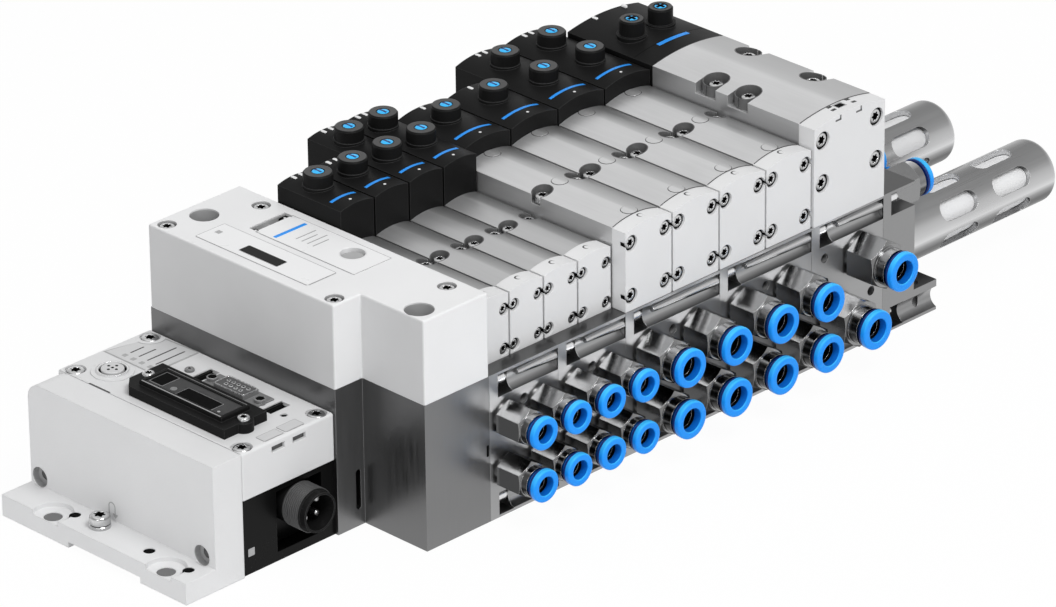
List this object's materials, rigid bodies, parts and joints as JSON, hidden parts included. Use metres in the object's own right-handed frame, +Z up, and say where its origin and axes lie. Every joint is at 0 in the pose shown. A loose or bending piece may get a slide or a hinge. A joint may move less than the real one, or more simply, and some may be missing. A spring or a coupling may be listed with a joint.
{
  "type": "pneumatic valve island",
  "caption": "Row of electrically piloted spool valves in three widths on aluminium sub-bases, with push-in tube fittings, silencers, an interface block and a bus module.",
  "frame": {"origin": "bottom centre of the whole part, on the plane that the island stands on", "axes": "+X along the row towards the silencers, +Y from the tube ports to the back, +Z up"},
  "size_m": [0.4796, 0.175, 0.1178],
  "materials": {
    "cover_plastic": "satin moulded cover, near white",
    "cast_grey": "light grey cast end plate, fine satin",
    "module_grey": "light grey moulded housing",
    "black_plastic": "satin black moulding",
    "body_aluminium": "machined and blasted aluminium",
    "signal_blue": "bright blue moulding, semi-gloss",
    "nickel": "nickel-plated brass",
    "screw_steel": "zinc-plated steel",
    "socket_metal": "tinned sheet steel shell",
    "spool_metal": "ground spool",
    "silencer_metal": "brushed tube, satin",
    "insert_plastic": "white porous tube"
  },
  "bodies": {
    "island": {"bus_interlink_block": "black_plastic", "bus_module_cover": "module_grey", "data_socket": "socket_metal", "end_caps": "cover_plastic", "fitting_bodies": "nickel", "interface_base": "body_aluminium", "interface_cover": "cover_plastic", "left_end_plate": "cast_grey", "pilot_head_large": "black_plastic", "pilot_heads_medium": "black_plastic", "pilot_heads_small": "black_plastic", "power_plug": "black_plastic", "right_end_plate": "body_aluminium", "screws": "screw_steel", "service_socket": "socket_metal", "silencer_bodies": "silencer_metal", "silencer_inserts": "insert_plastic", "spools": "spool_metal", "sub_base_large": "body_aluminium", "sub_bases_medium": "body_aluminium", "sub_bases_small": "body_aluminium", "switch_cover": "black_plastic", "tie_rods": "screw_steel", "valve_bodies_medium": "body_aluminium", "valve_bodies_small": "body_aluminium", "valve_body_large": "body_aluminium"},
    "release_ring_end_far": {"release_ring_end_far": "signal_blue"},
    "release_ring_end_near": {"release_ring_end_near": "signal_blue"},
    "release_ring_lower_1": {"release_ring_lower_1": "signal_blue"},
    "release_ring_lower_2": {"release_ring_lower_2": "signal_blue"},
    "release_ring_lower_3": {"release_ring_lower_3": "signal_blue"},
    "release_ring_lower_4": {"release_ring_lower_4": "signal_blue"},
    "release_ring_lower_5": {"release_ring_lower_5": "signal_blue"},
    "release_ring_lower_6": {"release_ring_lower_6": "signal_blue"},
    "release_ring_lower_7": {"release_ring_lower_7": "signal_blue"},
    "release_ring_lower_8": {"release_ring_lower_8": "signal_blue"},
    "release_ring_lower_9": {"release_ring_lower_9": "signal_blue"},
    "release_ring_upper_1": {"release_ring_upper_1": "signal_blue"},
    "release_ring_upper_2": {"release_ring_upper_2": "signal_blue"},
    "release_ring_upper_3": {"release_ring_upper_3": "signal_blue"},
    "release_ring_upper_4": {"release_ring_upper_4": "signal_blue"},
    "release_ring_upper_5": {"release_ring_upper_5": "signal_blue"},
    "release_ring_upper_6": {"release_ring_upper_6": "signal_blue"},
    "release_ring_upper_7": {"release_ring_upper_7": "signal_blue"},
    "release_ring_upper_8": {"release_ring_upper_8": "signal_blue"},
    "release_ring_upper_9": {"release_ring_upper_9": "signal_blue"},
    "override_button_1_1": {"override_button_1_1": "signal_blue"},
    "override_button_2_1": {"override_button_2_1": "signal_blue"},
    "override_button_3_1": {"override_button_3_1": "signal_blue"},
    "override_button_3_2": {"override_button_3_2": "signal_blue"},
    "override_button_4_1": {"override_button_4_1": "signal_blue"},
    "override_button_4_2": {"override_button_4_2": "signal_blue"},
    "override_button_5_1": {"override_button_5_1": "signal_blue"},
    "override_button_6_1": {"override_button_6_1": "signal_blue"},
    "override_button_7_1": {"override_button_7_1": "signal_blue"},
    "override_button_7_2": {"override_button_7_2": "signal_blue"},
    "override_button_8_1": {"override_button_8_1": "signal_blue"},
    "override_button_8_2": {"override_button_8_2": "signal_blue"},
    "override_button_9_1": {"override_button_9_1": "signal_blue"},
    "override_button_9_2": {"override_button_9_2": "signal_blue"}
  },
  "joints": [
    {"name": "release_ring_end_far_press", "type": "slide", "parent": "island", "child": "release_ring_end_far", "axis": [-1, 0, 0], "range_m": [0, 0.001], "stiffness_N_per_m": 600, "springref_m": -0.0008},
    {"name": "release_ring_end_near_press", "type": "slide", "parent": "island", "child": "release_ring_end_near", "axis": [-1, 0, 0], "range_m": [0, 0.001], "stiffness_N_per_m": 600, "springref_m": -0.0008},
    {"name": "release_ring_lower_1_press", "type": "slide", "parent": "island", "child": "release_ring_lower_1", "axis": [0, 1, 0], "range_m": [0, 0.001], "stiffness_N_per_m": 600, "springref_m": -0.0008},
    {"name": "release_ring_lower_2_press", "type": "slide", "parent": "island", "child": "release_ring_lower_2", "axis": [0, 1, 0], "range_m": [0, 0.001], "stiffness_N_per_m": 600, "springref_m": -0.0008},
    {"name": "release_ring_lower_3_press", "type": "slide", "parent": "island", "child": "release_ring_lower_3", "axis": [0, 1, 0], "range_m": [0, 0.001], "stiffness_N_per_m": 600, "springref_m": -0.0008},
    {"name": "release_ring_lower_4_press", "type": "slide", "parent": "island", "child": "release_ring_lower_4", "axis": [0, 1, 0], "range_m": [0, 0.001], "stiffness_N_per_m": 600, "springref_m": -0.0008},
    {"name": "release_ring_lower_5_press", "type": "slide", "parent": "island", "child": "release_ring_lower_5", "axis": [0, 1, 0], "range_m": [0, 0.001], "stiffness_N_per_m": 600, "springref_m": -0.0008},
    {"name": "release_ring_lower_6_press", "type": "slide", "parent": "island", "child": "release_ring_lower_6", "axis": [0, 1, 0], "range_m": [0, 0.001], "stiffness_N_per_m": 600, "springref_m": -0.0008},
    {"name": "release_ring_lower_7_press", "type": "slide", "parent": "island", "child": "release_ring_lower_7", "axis": [0, 1, 0], "range_m": [0, 0.001], "stiffness_N_per_m": 600, "springref_m": -0.0008},
    {"name": "release_ring_lower_8_press", "type": "slide", "parent": "island", "child": "release_ring_lower_8", "axis": [0, 1, 0], "range_m": [0, 0.001], "stiffness_N_per_m": 600, "springref_m": -0.0008},
    {"name": "release_ring_lower_9_press", "type": "slide", "parent": "island", "child": "release_ring_lower_9", "axis": [0, 1, 0], "range_m": [0, 0.001], "stiffness_N_per_m": 600, "springref_m": -0.0008},
    {"name": "release_ring_upper_1_press", "type": "slide", "parent": "island", "child": "release_ring_upper_1", "axis": [0, 1, 0], "range_m": [0, 0.001], "stiffness_N_per_m": 600, "springref_m": -0.0008},
    {"name": "release_ring_upper_2_press", "type": "slide", "parent": "island", "child": "release_ring_upper_2", "axis": [0, 1, 0], "range_m": [0, 0.001], "stiffness_N_per_m": 600, "springref_m": -0.0008},
    {"name": "release_ring_upper_3_press", "type": "slide", "parent": "island", "child": "release_ring_upper_3", "axis": [0, 1, 0], "range_m": [0, 0.001], "stiffness_N_per_m": 600, "springref_m": -0.0008},
    {"name": "release_ring_upper_4_press", "type": "slide", "parent": "island", "child": "release_ring_upper_4", "axis": [0, 1, 0], "range_m": [0, 0.001], "stiffness_N_per_m": 600, "springref_m": -0.0008},
    {"name": "release_ring_upper_5_press", "type": "slide", "parent": "island", "child": "release_ring_upper_5", "axis": [0, 1, 0], "range_m": [0, 0.001], "stiffness_N_per_m": 600, "springref_m": -0.0008},
    {"name": "release_ring_upper_6_press", "type": "slide", "parent": "island", "child": "release_ring_upper_6", "axis": [0, 1, 0], "range_m": [0, 0.001], "stiffness_N_per_m": 600, "springref_m": -0.0008},
    {"name": "release_ring_upper_7_press", "type": "slide", "parent": "island", "child": "release_ring_upper_7", "axis": [0, 1, 0], "range_m": [0, 0.001], "stiffness_N_per_m": 600, "springref_m": -0.0008},
    {"name": "release_ring_upper_8_press", "type": "slide", "parent": "island", "child": "release_ring_upper_8", "axis": [0, 1, 0], "range_m": [0, 0.001], "stiffness_N_per_m": 600, "springref_m": -0.0008},
    {"name": "release_ring_upper_9_press", "type": "slide", "parent": "island", "child": "release_ring_upper_9", "axis": [0, 1, 0], "range_m": [0, 0.001], "stiffness_N_per_m": 600, "springref_m": -0.0008},
    {"name": "override_button_1_1_press", "type": "slide", "parent": "island", "child": "override_button_1_1", "axis": [0, 0, -1], "range_m": [0, 0.0015], "stiffness_N_per_m": 800, "springref_m": -0.001},
    {"name": "override_button_2_1_press", "type": "slide", "parent": "island", "child": "override_button_2_1", "axis": [0, 0, -1], "range_m": [0, 0.0015], "stiffness_N_per_m": 800, "springref_m": -0.001},
    {"name": "override_button_3_1_press", "type": "slide", "parent": "island", "child": "override_button_3_1", "axis": [0, 0, -1], "range_m": [0, 0.0015], "stiffness_N_per_m": 800, "springref_m": -0.001},
    {"name": "override_button_3_2_press", "type": "slide", "parent": "island", "child": "override_button_3_2", "axis": [0, 0, -1], "range_m": [0, 0.0015], "stiffness_N_per_m": 800, "springref_m": -0.001},
    {"name": "override_button_4_1_press", "type": "slide", "parent": "island", "child": "override_button_4_1", "axis": [0, 0, -1], "range_m": [0, 0.0015], "stiffness_N_per_m": 800, "springref_m": -0.001},
    {"name": "override_button_4_2_press", "type": "slide", "parent": "island", "child": "override_button_4_2", "axis": [0, 0, -1], "range_m": [0, 0.0015], "stiffness_N_per_m": 800, "springref_m": -0.001},
    {"name": "override_button_5_1_press", "type": "slide", "parent": "island", "child": "override_button_5_1", "axis": [0, 0, -1], "range_m": [0, 0.0015], "stiffness_N_per_m": 800, "springref_m": -0.001},
    {"name": "override_button_6_1_press", "type": "slide", "parent": "island", "child": "override_button_6_1", "axis": [0, 0, -1], "range_m": [0, 0.0015], "stiffness_N_per_m": 800, "springref_m": -0.001},
    {"name": "override_button_7_1_press", "type": "slide", "parent": "island", "child": "override_button_7_1", "axis": [0, 0, -1], "range_m": [0, 0.0015], "stiffness_N_per_m": 800, "springref_m": -0.001},
    {"name": "override_button_7_2_press", "type": "slide", "parent": "island", "child": "override_button_7_2", "axis": [0, 0, -1], "range_m": [0, 0.0015], "stiffness_N_per_m": 800, "springref_m": -0.001},
    {"name": "override_button_8_1_press", "type": "slide", "parent": "island", "child": "override_button_8_1", "axis": [0, 0, -1], "range_m": [0, 0.0015], "stiffness_N_per_m": 800, "springref_m": -0.001},
    {"name": "override_button_8_2_press", "type": "slide", "parent": "island", "child": "override_button_8_2", "axis": [0, 0, -1], "range_m": [0, 0.0015], "stiffness_N_per_m": 800, "springref_m": -0.001},
    {"name": "override_button_9_1_press", "type": "slide", "parent": "island", "child": "override_button_9_1", "axis": [0, 0, -1], "range_m": [0, 0.0015], "stiffness_N_per_m": 800, "springref_m": -0.001},
    {"name": "override_button_9_2_press", "type": "slide", "parent": "island", "child": "override_button_9_2", "axis": [0, 0, -1], "range_m": [0, 0.0015], "stiffness_N_per_m": 800, "springref_m": -0.001}
  ]
}
